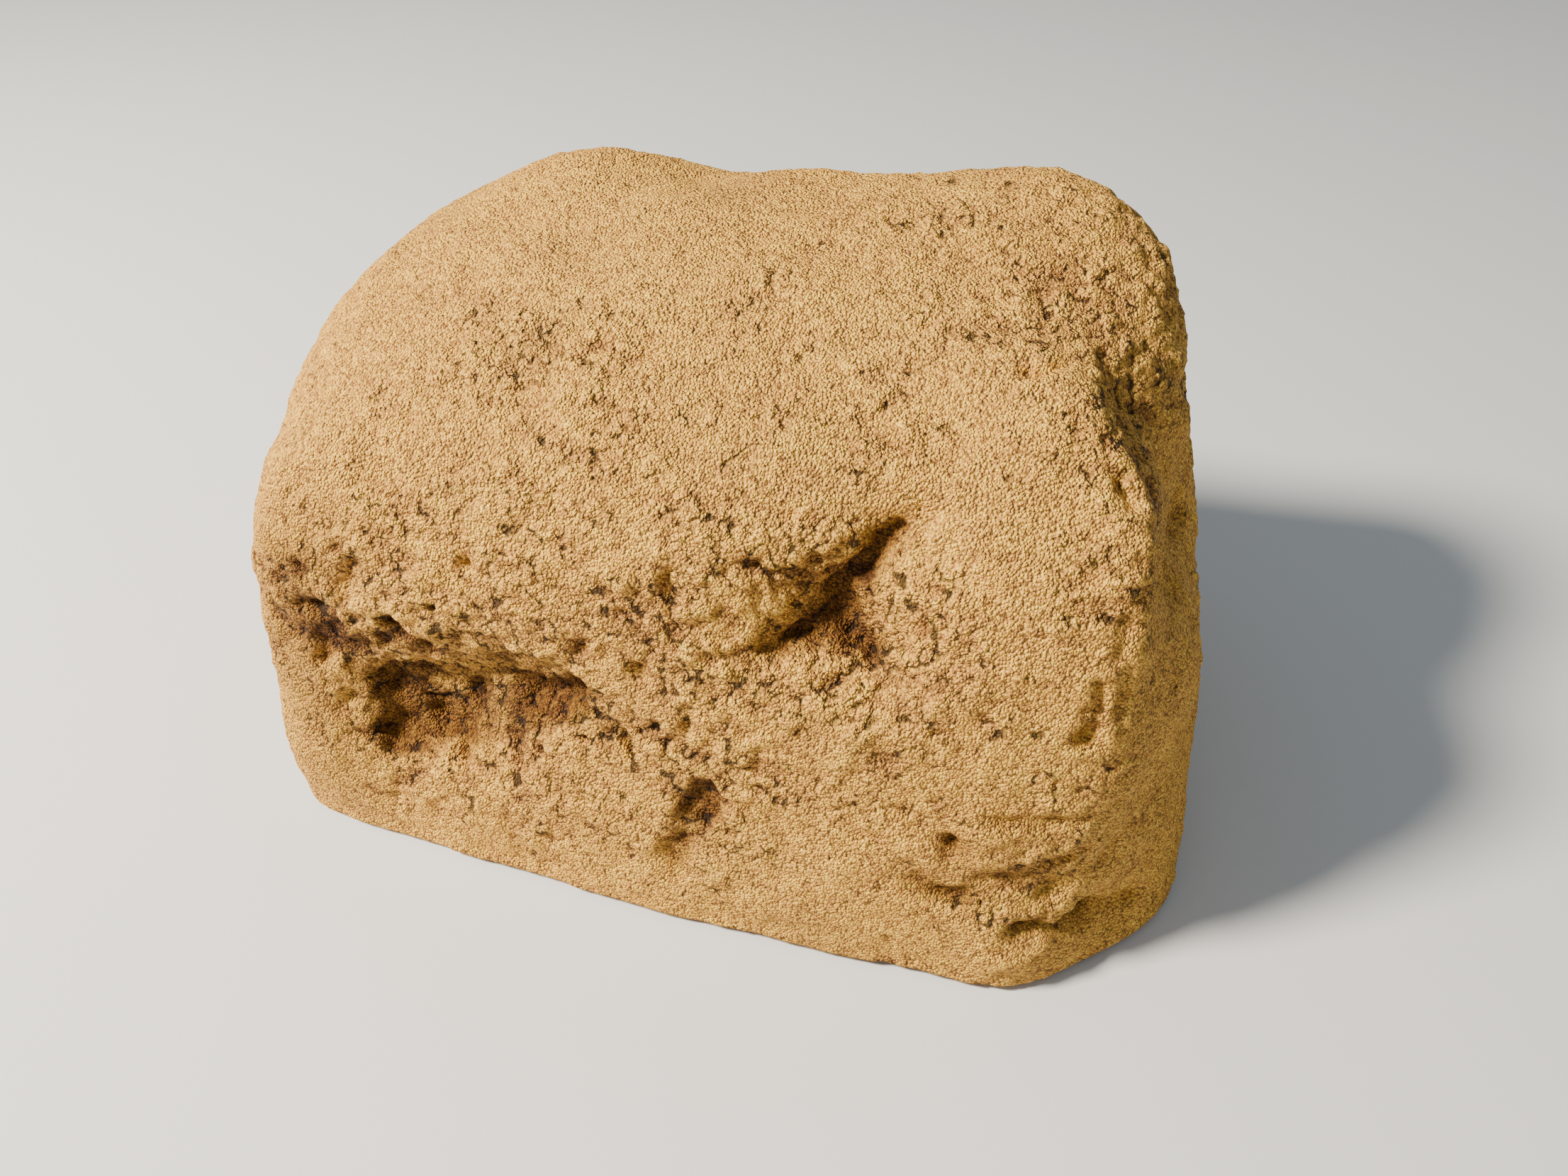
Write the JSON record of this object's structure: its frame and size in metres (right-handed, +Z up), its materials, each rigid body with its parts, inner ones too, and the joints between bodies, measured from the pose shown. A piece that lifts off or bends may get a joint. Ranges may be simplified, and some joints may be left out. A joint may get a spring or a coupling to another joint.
{
  "type": "resin cave ornament",
  "caption": "Hollow sandstone-look resin cave for a pond, open underneath, with a cave mouth in its back and bracketed peg holes.",
  "frame": {"origin": "centre of the bounding box on the ground plane under the foot pads", "axes": "+X along the length, to the right as seen from the broad front; -Y out of the front, +Y towards the back and the cave mouth; +Z up"},
  "size_m": [0.3564, 0.2532, 0.2154],
  "materials": {
    "sand_resin": "coarse sand texture",
    "glass_mat": "brushed laminating resin over chopped strand mat",
    "rim_resin": "trowelled filled resin",
    "pad_rubber": "matte",
    "lug_steel": "galvanised",
    "screw_steel": "zinc plated"
  },
  "bodies": {
    "root": {"face_coat": "sand_resin", "mat_lining": "glass_mat", "cave_throat": "sand_resin", "rim_band": "rim_resin", "foot_pad_1": "pad_rubber", "foot_pad_2": "pad_rubber", "foot_pad_3": "pad_rubber", "foot_pad_4": "pad_rubber", "foot_pad_5": "pad_rubber", "foot_pad_6": "pad_rubber", "peg_lug_1": "lug_steel", "peg_lug_2": "lug_steel", "peg_lug_3": "lug_steel", "peg_lug_4": "lug_steel", "lug_screws": "screw_steel"}
  },
  "joints": []
}
